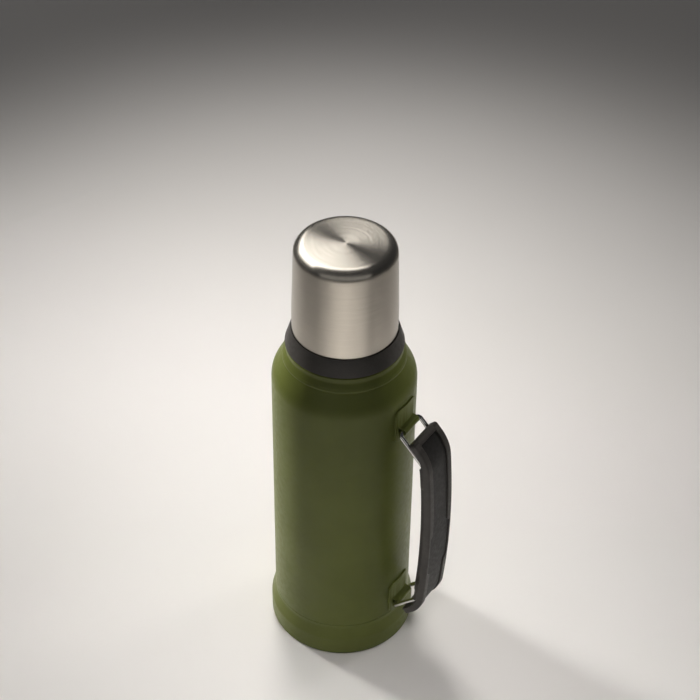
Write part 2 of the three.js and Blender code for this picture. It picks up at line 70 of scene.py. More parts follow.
def outside(node):                 # a turned CAD node's radius, in millimetres
    return highEnd(node, "y")


# An input is a value or another node's output. Other settings are the node's own.
def addNode(tree, kind, inputs=None, **settings):
    node = tree.nodes.new(kind)
    for key, value in settings.items():
        setattr(node, key, value)
    for key, value in (inputs or {}).items():
        if isinstance(value, bpy.types.Node):
            value = value.outputs[0]
        if isinstance(value, bpy.types.NodeSocket):
            tree.links.new(value, node.inputs[key])
        else:
            node.inputs[key].default_value = value
    return node


def calculate(tree, operation, *values, **settings):
    return addNode(tree, "ShaderNodeMath", dict(enumerate(values)), operation=operation, **settings)


def newFinish(name, **settings):
    material = bpy.data.materials.new(name)
    material.use_nodes = True
    shader = material.node_tree.nodes["Principled BSDF"]
    for key, value in settings.items():
        shader.inputs[key.replace("_", " ")].default_value = value
    return material, material.node_tree, shader


def connect(tree, source, shader, socket):
    tree.links.new(source.outputs[0], shader.inputs[socket])


def grain(tree, place, scale, detail=2.0, roughness=0.5, **settings):
    inputs = {"Vector": place, "Scale": scale, "Detail": detail, "Roughness": roughness}
    return addNode(tree, "ShaderNodeTexNoise", inputs, **settings)


def between(tree, source, low, high, fromLow=0.35, fromHigh=0.65):
    inputs = {"Value": source, "From Min": fromLow, "From Max": fromHigh, "To Min": low, "To Max": high}
    return addNode(tree, "ShaderNodeMapRange", inputs)


def tint(tree, share, first, second):
    node = addNode(tree, "ShaderNodeMix", {0: share, 6: first, 7: second}, data_type="RGBA")
    return node.outputs[2]


def objectPlace(tree):
    return addNode(tree, "ShaderNodeTexCoord").outputs["Object"]


def bump(tree, shader, height, strength, distance):
    node = addNode(tree, "ShaderNodeBump", {"Height": height, "Strength": strength, "Distance": distance})
    connect(tree, node, shader, "Normal")
    return node


# A share from 0 to 1 that drifts over the piece.
def drifting(tree, place, scale, detail=2.0):
    return between(tree, grain(tree, place, scale, detail), 0, 1)


def setColor(tree, shader, share, first, second):
    tree.links.new(tint(tree, share, first, second), shader.inputs["Base Color"])


def shaded(color, share):
    return tuple(share * c for c in color[:3]) + (1,)


# A finish whose tone drifts and whose roughness varies. Edges may be lighter. The skin is a fine
# unevenness (peel) or small pits.
def skinFinish(name, look, **settings):
    material, tree, shader = newFinish(name, **settings)
    place = objectPlace(tree)
    tone = tint(tree, drifting(tree, place, *look["drift"]), look["dark"], look["light"])
    if "edge" in look:
        edges = addNode(tree, "ShaderNodeNewGeometry").outputs["Pointiness"]
        tone = tint(tree, between(tree, edges, 0, look["wear"], *look["edgeRange"]), tone, look["edge"])
    tree.links.new(tone, shader.inputs["Base Color"])
    rough = between(tree, grain(tree, place, look["roughScale"]), *look["rough"])
    connect(tree, rough, shader, "Roughness")
    if "pits" in look:
        pits = {"Vector": place, "Scale": look["pits"]}
        skin = addNode(tree, "ShaderNodeTexVoronoi", pits, feature="SMOOTH_F1").outputs["Distance"]
        bump(tree, shader, skin, look["bump"], look["depth"])
    elif "peel" in look:
        bump(tree, shader, grain(tree, place, *look["peel"]), look["bump"], look["depth"])
    return material


# Satin powder coat: fine orange peel, slight drift in tone, paint a little thinner along edges.
def oliveCoat():
    look = {"dark": (0.096, 0.110, 0.026, 1), "light": (0.110, 0.126, 0.031, 1), "drift": (22, 3),
            "edge": (0.15, 0.168, 0.06, 1), "wear": 0.6, "edgeRange": (0.53, 0.6), "rough": (0.36, 0.46),
            "roughScale": 260, "peel": (1300, 2, 0.45), "bump": 0.22, "depth": 0.00006}
    return skinFinish("oliveCoat", look, Coat_Weight=0.04, Coat_Roughness=0.3, Specular_IOR_Level=0.14)


# Steel brushed around the axis: the strokes follow circles on the side and on the flat top.
def strokedSteel(name, color, low, high, depth, anisotropy):
    stroke = {"across": 2600, "along": 26, "detail": 5, "roughness": 0.75, "range": (0.3, 0.7),
              "dark": 0.74, "bump": 0.35}
    material, tree, shader = newFinish(name, Metallic=1, Anisotropic=anisotropy, Anisotropic_Rotation=0.25)
    place = objectPlace(tree)
    x, y, z = addNode(tree, "ShaderNodeSeparateXYZ", {0: place}).outputs
    level = addNode(tree, "ShaderNodeCombineXYZ", {0: x, 1: y})
    radius = addNode(tree, "ShaderNodeVectorMath", {0: level}, operation="LENGTH").outputs["Value"]
    strokePlace = addNode(tree, "ShaderNodeCombineXYZ", {
        0: calculate(tree, "MULTIPLY", radius, stroke["across"]),
        1: calculate(tree, "MULTIPLY", z, stroke["across"]),
        2: calculate(tree, "MULTIPLY", x, stroke["along"])})
    strokes = addNode(tree, "ShaderNodeTexNoise", {
        "Vector": strokePlace, "W": calculate(tree, "MULTIPLY", y, stroke["along"]), "Scale": 1,
        "Detail": stroke["detail"], "Roughness": stroke["roughness"]}, noise_dimensions="4D")
    shade = between(tree, strokes, 0, 1, *stroke["range"])
    setColor(tree, shader, shade, shaded(color, stroke["dark"]), color)
    connect(tree, between(tree, strokes, low, high, *stroke["range"]), shader, "Roughness")
    bump(tree, shader, strokes, stroke["bump"], depth)
    circling = addNode(tree, "ShaderNodeCombineXYZ", {0: calculate(tree, "MULTIPLY", y, -1), 1: x})
    tangent = addNode(tree, "ShaderNodeVectorTransform", {0: circling}, vector_type="VECTOR",
                      convert_from="OBJECT", convert_to="WORLD")
    even = addNode(tree, "ShaderNodeVectorMath", {0: tangent}, operation="NORMALIZE")
    connect(tree, even, shader, "Tangent")
    return material


def polishedWire():
    look = {"dark": (0.70, 0.69, 0.67, 1), "light": (0.80, 0.79, 0.77, 1), "drift": 70,
            "scuffScale": 900, "rough": (0.09, 0.2), "scuff": 0.1, "depth": 0.00001}
    material, tree, shader = newFinish("polishedWire", Metallic=1)
    place = objectPlace(tree)
    scuffs = grain(tree, place, look["scuffScale"], 4, 0.7)
    connect(tree, between(tree, scuffs, *look["rough"]), shader, "Roughness")
    bump(tree, shader, scuffs, look["scuff"], look["depth"])
    setColor(tree, shader, drifting(tree, place, look["drift"]), look["dark"], look["light"])
    return material


# Moulded plastic or rubber: fine pitted skin, slight drift in tone, edges rubbed a little lighter.
def mouldedFinish(name, dark, light, rough, pits, depth, **settings):
    look = {"dark": dark, "light": light, "drift": (45, 3), "edge": shaded(light, 1.7), "wear": 0.5,
            "edgeRange": (0.53, 0.62), "rough": rough, "roughScale": 400, "pits": pits, "bump": 0.4,
            "depth": depth}
    return skinFinish(name, look, **settings)


# Pale foam: its cells sink small pits into the bump, and the pits are painted darker as painted shade.
def paleFoam():
    look = {"pore": (0.5, 0.46, 0.36, 1), "foam": (0.78, 0.74, 0.62, 1), "cellScale": 700,
            "poreShadeRange": (0.1, 0.7), "rough": (0.85, 0.98), "roughScale": 300, "bump": 0.6, "depth": 0.0002}
    material, tree, shader = newFinish("paleFoam")
    place = objectPlace(tree)
    cells = addNode(tree, "ShaderNodeTexVoronoi", {"Vector": place, "Scale": look["cellScale"]})
    # painted shade: darker colour in the pit hollows, from the same cell distance that drives the bump
    poreShadeShare = between(tree, cells.outputs["Distance"], 0, 1, *look["poreShadeRange"])
    setColor(tree, shader, poreShadeShare, look["pore"], look["foam"])
    rough = between(tree, grain(tree, place, look["roughScale"]), *look["rough"])
    connect(tree, rough, shader, "Roughness")
    bump(tree, shader, cells.outputs["Distance"], look["bump"], look["depth"])
    return material


def sealGlass():
    look = {"dark": (0.11, 0.15, 0.17, 1), "light": (0.2, 0.26, 0.29, 1), "drift": (300, 3),
            "rough": (0.1, 0.25), "roughScale": 900, "peel": (500,), "bump": 0.2, "depth": 0.0001}
    return skinFinish("sealGlass", look, IOR=1.5, Transmission_Weight=0.35)


finishes = {
    "olive_coat": oliveCoat(),
    "brushed_steel": strokedSteel("brushedSteel", (0.68, 0.63, 0.55, 1), 0.2, 0.28, 0.00002, 0.88),
    "plain_steel": strokedSteel("plainSteel", (0.6, 0.59, 0.57, 1), 0.2, 0.28, 0.000012, 0.4),
    "polished_wire": polishedWire(),
    "black_plastic": mouldedFinish("blackPlastic", (0.044, 0.040, 0.036, 1), (0.058, 0.053, 0.048, 1),
                                   (0.46, 0.58), 2600, 0.00006, Specular_IOR_Level=0.35),
    "soft_black": mouldedFinish("softBlack", (0.019, 0.018, 0.017, 1), (0.026, 0.0245, 0.023, 1),
                                (0.56, 0.7), 1900, 0.00008, Sheen_Weight=0.03, Specular_IOR_Level=0.3),
    "grey_rubber": mouldedFinish("greyRubber", (0.22, 0.22, 0.215, 1), (0.28, 0.28, 0.27, 1),
                                 (0.6, 0.75), 1500, 0.00005, Sheen_Weight=0.1),
    "pale_foam": paleFoam(),
    "seal_glass": sealGlass(),
}
print("finishes made:", len(finishes))


# The arms of an arc from one arm to another, a sweep apart.
def arc(start, end, sweep, steps):
    shares = (k / steps for k in range(steps + 1))
    return [(start * sin((1 - t) * sweep) + end * sin(t * sweep)) / sin(sweep) for t in shares]


# A line of (x, y, rounding) corners with its corners rounded.
def roundedLine(corners, closed=False, steps=6):
    line, count = [], len(corners)
    legShare = 0.49                # of a leg, the most that one corner's rounding may take
    for i, (x, y, rounding) in enumerate(corners):
        here = Vector((x, y))
        if not rounding or (not closed and i in (0, count - 1)):
            line.append((x, y))
            continue
        before = Vector(corners[i - 1][:2]) - here
        after = Vector(corners[(i + 1) % count][:2]) - here
        half = before.angle(after) / 2
        reach = min(rounding / tan(half), legShare * before.length, legShare * after.length)
        towards = (before.normalized() + after.normalized()).normalized()
        centre = here + towards * reach / cos(half)
        start, end = before.normalized() * reach + here - centre, after.normalized() * reach + here - centre
        line += [tuple(centre + arm) for arm in arc(start, end, pi - 2 * half, steps)]
    return line


# Corners moved by x and y.
def shifted(corners, x, y):
    return [(x + u, y + v, rounding) for u, v, rounding in corners]


# A sheet's closed section: its outside line, and the same line a wall to its left.
def sheetSection(line, wall):
    inner, longestMitre = [], 2    # in walls
    for i, (x, y) in enumerate(line):
        here = Vector((x, y))
        into = (here - Vector(line[i - 1])).normalized() if i else (Vector(line[1]) - here).normalized()
        out = (Vector(line[i + 1]) - here).normalized() if i < len(line) - 1 else into
        along = (into + out).normalized()
        left = Vector((-along.y, along.x)) * wall / max(along.dot(into), 1 / longestMitre)
        inner.append((max(x + left.x, 0), y + left.y))
    return list(line) + inner[::-1]


def newMesh(points, faces, sharpAngle=softAngle):
    mesh = bpy.data.meshes.new("shape")
    mesh.from_pydata([tuple(c * mm for c in point) for point in points], [], faces)
    return finishMesh(mesh, sharpAngle)


def finishMesh(mesh, sharpAngle=softAngle):
    shape = bmesh.new()
    shape.from_mesh(mesh)
    bmesh.ops.remove_doubles(shape, verts=shape.verts, dist=weldDistance)
    bmesh.ops.recalc_face_normals(shape, faces=shape.faces)
    shape.to_mesh(mesh)
    shape.free()
    mesh.polygons.foreach_set("use_smooth", [True] * len(mesh.polygons))
    mesh.set_sharp_from_angle(angle=radians(sharpAngle))
    mesh.update()
    return mesh


# A section turned around the Z axis. Points on the axis become poles.
def turned(section, steps=160, centre=(0, 0), sharpAngle=softAngle):
    points, rows, faces = [], [], []
    for radius, height in section:
        ring = []
        for k in range(steps if radius > 1e-6 else 1):
            angle = 2 * pi * k / steps
            ring.append(len(points))
            points.append((centre[0] + radius * cos(angle), centre[1] + radius * sin(angle), height))
        rows.append(ring)
    for i, row in enumerate(rows):
        following = rows[(i + 1) % len(rows)]
        if len(row) == len(following) == 1:
            continue
        for k in range(steps):
            a, b = row[k % len(row)], row[(k + 1) % len(row)]
            c, d = following[(k + 1) % len(following)], following[k % len(following)]
            faces.append(tuple(dict.fromkeys((a, b, c, d))))
    return newMesh(points, faces, sharpAngle)


def addObject(name, data):
    made = bpy.data.objects.new(name, data)
    bpy.context.scene.collection.objects.link(made)
    return made


# A piece is named after the CAD node that it replaces, in camel case, or is given a name.
def addPiece(mesh, slot, *nodes, name=None):
    first, *rest = nodes[0].split("_")
    mesh.name = name or first + "".join(word.capitalize() for word in rest)
    mesh.materials.clear()
    mesh.materials.append(finishes[slot])
    piece = addObject(mesh.name, mesh)
    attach(piece, bodyOfNode[nodes[0]])
    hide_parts(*nodes)
    return piece


# A piece turned from a section.
def addTurned(section, slot, node, steps=160, **settings):
    return addPiece(turned(section, steps, **settings), slot, node)


def temporary(mesh):
    return addObject("helper", mesh)


# The mesh that an object has once its modifiers have run.
def evaluated(helper):
    graph = bpy.context.evaluated_depsgraph_get()
    mesh = bpy.data.meshes.new_from_object(helper.evaluated_get(graph))
    bpy.data.objects.remove(helper)
    return mesh


def combined(mesh, operation, others, sharpAngle=softAngle):
    helper = temporary(mesh)
    tools = [temporary(other) for other in others]
    for tool in tools:
        modifier = helper.modifiers.new("shape", "BOOLEAN")
        modifier.operation, modifier.solver, modifier.object = operation, "MANIFOLD", tool
    result = evaluated(helper)
    for tool in tools:
        bpy.data.objects.remove(tool)
    return finishMesh(result, sharpAngle)


def bevelled(mesh, width, segments=3, angle=35, sharpAngle=softAngle):
    helper = temporary(mesh)
    modifier = helper.modifiers.new("edges", "BEVEL")
    modifier.width, modifier.segments, modifier.limit_method = width * mm, segments, "ANGLE"
    modifier.angle_limit = radians(angle)
    modifier.use_clamp_overlap = True
    return finishMesh(evaluated(helper), sharpAngle)


def rectangle(left, right, low, high):
    return [(left, low), (right, low), (right, high), (left, high)]


# A flat outline of (u, v) points given a thickness; place turns (u, v, w) into a point.
def slab(outline, low, high, place):
    count = len(outline)
    points = [place(u, v, w) for w in (low, high) for u, v in outline]
    faces = [tuple(range(count)), tuple(range(count, 2 * count))]
    faces += [(i, (i + 1) % count, count + (i + 1) % count, count + i) for i in range(count)]
    return newMesh(points, faces)


def newTree(name, sizes):
    tree = bpy.data.node_groups.new(name, "GeometryNodeTree")
    tree.interface.new_socket("Geometry", in_out="INPUT", socket_type="NodeSocketGeometry")
    for label, value in sizes.items():
        kind = "NodeSocketInt" if isinstance(value, int) else "NodeSocketFloat"
        tree.interface.new_socket(label, in_out="INPUT", socket_type=kind).default_value = value
    tree.interface.new_socket("Material", in_out="INPUT", socket_type="NodeSocketMaterial")
    tree.interface.new_socket("Geometry", in_out="OUTPUT", socket_type="NodeSocketGeometry")
    return tree, addNode(tree, "NodeGroupInput").outputs


def endTree(tree, sizes, geometry):
    smooth = addNode(tree, "GeometryNodeSetShadeSmooth", {"Geometry": geometry})
    real = addNode(tree, "GeometryNodeRealizeInstances", {"Geometry": smooth})
    painted = addNode(tree, "GeometryNodeSetMaterial", {"Geometry": real, "Material": sizes["Material"]})
    addNode(tree, "NodeGroupOutput", {"Geometry": painted})
    return tree


def grown(tree, mesh, values, slot, sharpAngle=softAngle):
    helper = temporary(mesh)
    modifier = helper.modifiers.new("grow", "NODES")
    modifier.node_group = tree
    sockets = {item.name: item.identifier for item in tree.interface.items_tree if item.in_out == "INPUT"}
    for label, value in {**values, "Material": finishes[slot]}.items():
        modifier[sockets[label]] = value
    return finishMesh(evaluated(helper), sharpAngle)


# A round bar along a path.
def bailTree():
    tree, sizes = newTree("bailWire", {"Wire Radius": 0.001, "Sides": 24})
    path = addNode(tree, "GeometryNodeMeshToCurve", {"Mesh": sizes["Geometry"]})
    ring = addNode(tree, "GeometryNodeCurvePrimitiveCircle",
                   {"Resolution": sizes["Sides"], "Radius": sizes["Wire Radius"]})
    wire = addNode(tree, "GeometryNodeCurveToMesh", {"Curve": path, "Profile Curve": ring, "Fill Caps": True})
    return endTree(tree, sizes, wire)


# A round thread ridge, climbing around the axis and running out to nothing at both ends.
def threadTree():
    tree, sizes = newTree("screwThread", {"Path Radius": 0.03, "Ridge Radius": 0.001, "Bottom": 0.0,
                                          "Pitch": 0.005, "Turns": 1.5, "Run Out": 0.06, "End Size": 0.25,
                                          "Steps": 96, "Sides": 12})
    rise = calculate(tree, "MULTIPLY", sizes["Pitch"], sizes["Turns"])
    spiral = addNode(tree, "GeometryNodeCurveSpiral", {
        "Resolution": sizes["Steps"], "Rotations": sizes["Turns"], "Start Radius": sizes["Path Radius"],
        "End Radius": sizes["Path Radius"], "Height": rise})
    lift = addNode(tree, "ShaderNodeCombineXYZ", {2: sizes["Bottom"]})
    raised = addNode(tree, "GeometryNodeSetPosition", {"Geometry": spiral, "Offset": lift})
    share = addNode(tree, "GeometryNodeSplineParameter").outputs["Factor"]
    nearEnd = calculate(tree, "MINIMUM", share, calculate(tree, "SUBTRACT", 1.0, share))
    taper = addNode(tree, "ShaderNodeMapRange", {
        "Value": nearEnd, "From Min": 0.0, "From Max": sizes["Run Out"], "To Min": sizes["End Size"],
        "To Max": 1.0}, interpolation_type="SMOOTHSTEP")
    tapered = addNode(tree, "GeometryNodeSetCurveRadius", {"Curve": raised, "Radius": taper})
    ring = addNode(tree, "GeometryNodeCurvePrimitiveCircle",
                   {"Resolution": sizes["Sides"], "Radius": sizes["Ridge Radius"]})
    ridge = addNode(tree, "GeometryNodeCurveToMesh", {
        "Curve": tapered, "Profile Curve": ring, "Scale": taper, "Fill Caps": True})
    return endTree(tree, sizes, ridge)


# Finger flutes around a knob: the side is pulled in where a wave around the axis is high.
def fluteTree():
    tree, sizes = newTree("fingerFlutes", {"Count": 12, "Depth": 0.001, "Low": 0.0, "High": 0.1,
                                           "Inner Radius": 0.02, "Fade": 0.001, "Turned": pi / 12,
                                           "Wave Low": 0.05, "Wave Run": 0.95})
    place = addNode(tree, "GeometryNodeInputPosition")
    x, y, z = addNode(tree, "ShaderNodeSeparateXYZ", {0: place}).outputs
    angle = calculate(tree, "ADD", calculate(tree, "ARCTAN2", y, x), sizes["Turned"])
    wave = calculate(tree, "COSINE", calculate(tree, "MULTIPLY", angle, sizes["Count"]))
    level = addNode(tree, "ShaderNodeCombineXYZ", {0: x, 1: y})
    radius = addNode(tree, "ShaderNodeVectorMath", {0: level}, operation="LENGTH").outputs["Value"]

    def rise(value, start, run):
        end = calculate(tree, "ADD", start, run)
        return addNode(tree, "ShaderNodeMapRange", {"Value": value, "From Min": start, "From Max": end},
                       interpolation_type="SMOOTHSTEP")

    hollow = rise(wave, sizes["Wave Low"], sizes["Wave Run"])
    above = rise(z, sizes["Low"], sizes["Fade"])
    outer = rise(radius, sizes["Inner Radius"], sizes["Fade"])
    share = calculate(tree, "MULTIPLY", calculate(tree, "MULTIPLY", hollow, above), outer)
    pull = calculate(tree, "DIVIDE", calculate(tree, "MULTIPLY", share, sizes["Depth"]), radius)
    back = calculate(tree, "MULTIPLY", pull, -1.0)
    offset = addNode(tree, "ShaderNodeVectorMath", {0: level, "Scale": back}, operation="SCALE")
    moved = addNode(tree, "GeometryNodeSetPosition", {"Geometry": sizes["Geometry"], "Offset": offset})
    return endTree(tree, sizes, moved)


# The same screw at every point of a mesh.
def screwTree(screw):
    tree, sizes = newTree("gripScrews", {})
    source = addNode(tree, "GeometryNodeObjectInfo", {"Object": screw}).outputs["Geometry"]
    copies = addNode(tree, "GeometryNodeInstanceOnPoints", {"Points": sizes["Geometry"], "Instance": source})
    return endTree(tree, sizes, copies)


threads = {"pitch": 5, "turns": 1.5, "steps": 96}
threadMaker = threadTree()


def threadRidge(pathRadius, ridgeRadius, bottom, slot):
    return grown(threadMaker, bpy.data.meshes.new("start"), {
        "Path Radius": pathRadius * mm, "Ridge Radius": ridgeRadius * mm, "Bottom": bottom * mm,
        "Pitch": threads["pitch"] * mm, "Turns": threads["turns"], "Steps": threads["steps"]}, slot)


bottle = {
    "wall": 0.6, "shoulderCorner": 237.1, "shoulderRound": 20, "neckInset": 7.5, "beadHeight": 251.7,
    "shelfInset": 2.3, "shelfStep": 0.4, "neckGap": 1.6, "dish": 8, "vacuum": 5, "mouthThread": 0.6,
    "stepRound": 0.25, "shelfRound": 0.4, "bead": [(0, -0.6, 1.2), (0.15, 0.6, 0.9), (-0.5, 2.4, 1.8)],
    "shelf": [(-0.2, -4.5, 3), (0, -0.8, 0.5), (-0.9, 0, 0.7)], "linerDrop": 14.5, "linerRound": 18,
    "linerNeckDrop": 5, "throat": [(1.5, -12, 3), (0, -9, 4)], "bend": 3, "lipRound": 0.3, "weld": 0.2,
    "weldSeam": 0.15, "ridge": 0.9, "threadDrop": 14, "steps": 10,
}
closing = {"holeInset": 2.2, "discRound": 0.2, "sealRound": 1, "edgeRound": 0.3, "tipRound": 0.4}
getter = {"edgeRound": 0.5, "rim": 1.2, "slope": 0.4, "depth": 0.5, "rimRound": 0.3, "floorRound": 0.2}

bodyRadius = outside("outer_shell")
rimHeight = highEnd("inner_liner")
shelfHeight = lowEnd("neck_collar") - bottle["shelfStep"]
tubeRadius = outside("stopper_gasket")      # the washer is as wide as the neck tube
mouthRadius = tubeRadius - 2 * bottle["wall"] - bottle["neckGap"]


def buildOuterShell(neck):
    b = bottle
    low, step = lowEnd("outer_shell"), highEnd("base_cup") + seam
    spigot = bodyRadius - b["wall"] - seam
    line = roundedLine(
        [(spigot, low, 0), (spigot, step, 0), (bodyRadius, step, b["stepRound"]),
         (bodyRadius, b["shoulderCorner"], b["shoulderRound"])]
        + shifted(b["bead"], neck, b["beadHeight"]) + shifted(b["shelf"], neck - b["shelfInset"], shelfHeight)
        + [(tubeRadius, shelfHeight, b["shelfRound"]), (tubeRadius, rimHeight - b["wall"] - seam, 0)],
        steps=b["steps"])
    addTurned(sheetSection(line, b["wall"]), "olive_coat", "outer_shell", 192)


def buildLiner(neck):
    b = bottle
    wall, radius = b["wall"], outside("liner_base")
    shoulder, inside = b["beadHeight"] - b["vacuum"] - wall, mouthRadius + wall
    lip = rimHeight - wall
    line = roundedLine(
        [(radius, lowEnd("inner_liner"), 0), (radius, shoulder - b["linerDrop"], b["linerRound"]),
         (neck - b["vacuum"], shoulder - b["linerNeckDrop"], b["bend"])]
        + shifted(b["throat"], inside, shelfHeight)
        + [(inside, lip, b["lipRound"]), (tubeRadius, lip, 0)], steps=b["steps"])
    line[-1:] = [(tubeRadius - b["weldSeam"], lip), (tubeRadius, lip + b["weldSeam"])]
    section = sheetSection(line, wall)
    weld = [(tubeRadius, rimHeight - b["weld"]), (tubeRadius - b["weld"], rimHeight)]
    section[len(line):len(line) + 2] = weld
    liner = turned(section, 160)
    ridge = threadRidge(mouthRadius - b["mouthThread"] + b["ridge"], b["ridge"], rimHeight - b["threadDrop"],
                        "plain_steel")
    addPiece(combined(liner, "UNION", [ridge]), "plain_steel", "inner_liner")

    floor = lowEnd("liner_base")
    line = roundedLine([(0, floor, 0), (radius, floor, b["dish"]), (radius, highEnd("liner_base"), 0)],
                       steps=b["steps"])
    addTurned(sheetSection(line, wall), "plain_steel", "liner_base")


# The disc under the vacuum space and the plug in its hole.
def buildClosing():
    c = closing
    low, high = ends("shell_bottom")
    wide, sealWide = outside("shell_bottom"), outside("evacuation_seal")
    hole = sealWide - c["holeInset"]
    section = roundedLine([(hole, low, 0), (wide, low, c["discRound"]), (wide, high, c["discRound"]),
                           (hole, high, 0)], closed=True, steps=3)
    addTurned(section, "plain_steel", "shell_bottom")

    sealLow, sealHigh = ends("evacuation_seal")
    neck = hole - seam
    section = roundedLine([(0, sealLow, 0), (sealWide, sealLow, c["sealRound"]),
                           (sealWide, low - seam, c["edgeRound"]), (neck, low - seam, 0),
                           (neck, sealHigh, c["tipRound"]), (0, sealHigh, 0)])
    addTurned(section, "seal_glass", "evacuation_seal", 48)


def buildGetter():
    g = getter
    low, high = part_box("getter")
    middle = ((low.x + high.x) / 2 / mm, (low.y + high.y) / 2 / mm)
    radius, foot, top = (high.y - low.y) / 2 / mm, low.z / mm, high.z / mm
    rim, floor = radius - g["rim"], top - g["depth"]
    section = roundedLine([(0, foot, 0), (radius, foot, g["edgeRound"]), (radius, top, g["edgeRound"]),
                           (rim, top, g["rimRound"]), (rim - g["slope"], floor, g["floorRound"]),
                           (0, floor, 0)])
    addTurned(section, "plain_steel", "getter", 64, centre=middle)


def buildBottle():
    neck = bodyRadius - bottle["neckInset"]
    buildOuterShell(neck)
    buildLiner(neck)
    buildClosing()
    buildGetter()


boot = {"flare": 3, "straight": 15, "footRound": 4, "footRing": 9, "pad": 22, "recess": 2.5, "wall": 0.6,
        "slope": 2.2, "soft": 1.5, "flareLow": 2.5, "flareHigh": 11, "flareRound": 7}


def buildBoot():
    b = boot
    radius, height = outside("base_cup"), highEnd("base_cup")
    inner, waist, soft = radius - b["footRound"] - b["footRing"], radius - b["flare"], b["soft"]
    line = roundedLine([
        (0, 0, 0), (b["pad"], 0, soft), (b["pad"] + b["slope"], b["recess"], soft),
        (inner - b["slope"], b["recess"], soft), (inner, 0, soft), (radius, 0, b["footRound"]),
        (radius, b["straight"] + b["flareLow"], b["flareRound"]),
        (waist, b["straight"] + b["flareHigh"], b["flareRound"]), (waist, height, 0)], steps=10)
    addTurned(sheetSection(line, b["wall"]), "olive_coat", "base_cup", 192)


collar = {"coneHeight": 12.6, "wall": 3, "lip": 0.55, "lipRise": 1.2, "skin": 2.5, "footRound": 0.35,
          "threadHeight": 0.9, "threadStart": 3.5, "ridge": 1.2, "innerRound": 0.8, "lipRound": 0.24,
          "topRound": 0.6, "soft": 0.3, "sharp": 0.2, "rootRound": 0.5}


def buildCollar():
    c = collar
    soft, sharp, under = c["soft"], c["sharp"], c["innerRound"]
    foot, top = ends("neck_collar")
    footRadius, bore = outside("neck_collar"), tubeRadius + seam
    tube = bore + c["wall"]
    lipHeight = foot + c["coneHeight"]
    seat, lipInside = lipHeight - c["lipRise"], outside("cup_shell") + seam
    lipOutside = lipInside + c["lip"]
    section = roundedLine([
        (bore, foot, soft), (tube, foot, soft), (tube, seat - c["wall"], under),
        (lipOutside - c["skin"], seat - c["wall"], under), (footRadius - c["skin"], foot, sharp),
        (footRadius, foot, c["footRound"]), (lipOutside, lipHeight, c["lipRound"]),
        (lipInside, lipHeight, sharp), (lipInside, seat, soft), (tube, seat, c["rootRound"]),
        (tube, top, c["topRound"]), (bore, top, c["topRound"])], closed=True, steps=5)
    ridge = threadRidge(tube + c["threadHeight"] - c["ridge"], c["ridge"], seat + c["threadStart"],
                        "black_plastic")
    body = combined(turned(section, 192), "UNION", [ridge])
    addPiece(body, "black_plastic", "neck_collar")


cup = {"wall": 0.6, "linerWall": 1, "taper": 1.65, "round": 7.5, "rimRoll": 0.25, "ringWall": 1.3,
       "threadHeight": 0.9, "ridge": 1, "sideRound": 60, "threadStart": 3.5, "shine": 50, "ringRound": 0.4,
       "ringEdge": 0.3, "gasketBore": 0.7}


def buildCup():
    c = cup
    radius, rim, top = outside("cup_shell"), lowEnd("cup_shell"), highEnd("cup_shell")
    ringTop = highEnd("cup_thread_ring")

    def cupLine(inset, bottom, rimRoll=0):
        side = radius - inset
        line = [(side, bottom, rimRoll)]
        if bottom < ringTop:
            line.append((side, ringTop + seam, c["sideRound"]))
        line += [(side - c["taper"], top - inset, c["round"] - inset), (0, top - inset, 0)]
        return roundedLine(line, steps=14)

    shell = sheetSection(cupLine(0, rim, c["rimRoll"]), c["wall"])
    addTurned(shell, "brushed_steel", "cup_shell", 192, sharpAngle=c["shine"])
    inset = radius - outside("cup_liner")
    liner = sheetSection(cupLine(inset, lowEnd("cup_liner")), c["linerWall"])
    addTurned(liner, "plain_steel", "cup_liner")

    ringRadius, low = outside("cup_thread_ring"), lowEnd("cup_thread_ring")
    root = ringRadius - c["ringWall"]
    section = roundedLine([(root, low, c["ringRound"]), (ringRadius, low, c["ringEdge"]),
                           (ringRadius, ringTop, c["ringEdge"]), (root, ringTop, c["ringRound"])],
                          closed=True, steps=4)
    ridge = threadRidge(root - c["threadHeight"] + c["ridge"], c["ridge"], low - seam + c["threadStart"],
                        "black_plastic")
    ring = combined(turned(section), "UNION", [ridge])
    addPiece(ring, "black_plastic", "cup_thread_ring")
    gasket = washer("cup_gasket", outside("stopper_shell") + c["gasketBore"])
    addPiece(gasket, "grey_rubber", "cup_gasket")


# A flat ring with soft edges, in a CAD ring's height and outside.
def washer(node, bore, softness=0.45):
    (low, high), wide = ends(node), outside(node)
    section = roundedLine([(bore, low, softness), (wide, low, softness), (wide, high, softness),
                           (bore, high, softness)], closed=True, steps=5)
    return turned(section)


stopper = {"headHeight": 13, "headRound": 2.4, "plugWall": 2, "sealHeight": 4, "sealGroove": 3,
           "grooveDepth": 0.8, "plugInset": 1.7, "flutes": 12, "fluteDepth": 1.5, "threadTip": 0.9,
           "ridge": 0.9, "soft": 0.3, "sharp": 0.2, "grooveRound": 0.1, "plugRound": 1.6, "headEdge": 1,
           "headRow": 0.5, "fluteStart": 1.6, "fluteFade": 1.6, "headMargin": 0.8, "step": 0.6,
           "threadDrop": 14.2, "gasketBore": 0.7, "sealSoft": 0.4}
stopperLid = {"foot": 0.3, "edge": 0.6, "rim": 2.6, "slope": 0.5, "recess": 0.5, "soft": 0.3}


